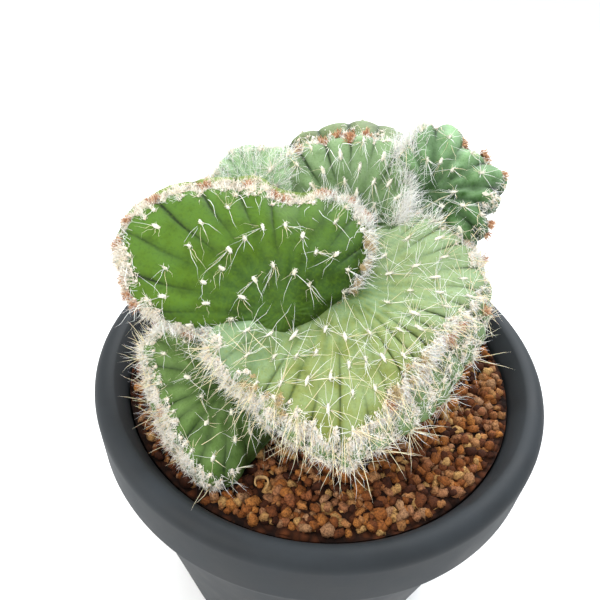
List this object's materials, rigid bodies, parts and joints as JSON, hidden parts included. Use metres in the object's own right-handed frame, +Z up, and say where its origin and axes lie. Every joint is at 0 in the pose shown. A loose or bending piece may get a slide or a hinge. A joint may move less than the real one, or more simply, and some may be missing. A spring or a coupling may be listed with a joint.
{
  "type": "potted crested eves needle cactus",
  "caption": "Crested cactus with fan-shaped, ribbed, spiny lobes in a dark round plastic pot filled with reddish clay granules.",
  "frame": {"origin": "on the pot's axis at the underside of its base, with the part standing on the surface below it", "axes": "+Z up along the pot's axis, -Y towards the viewer of the picture, +X to the viewer's right"},
  "size_m": [0.15, 0.15, 0.1885],
  "materials": {
    "pot_plastic": "dark bluish-grey moulded plastic with a soft sheen",
    "clay_granules": "rough reddish-brown granules",
    "cactus_skin": "waxy green skin with cream spines and wool",
    "dry_husk": "dry and matt"
  },
  "bodies": {
    "root": {"pot": "pot_plastic", "soil": "clay_granules", "crest": "cactus_skin", "dry_husk": "dry_husk"}
  },
  "joints": []
}
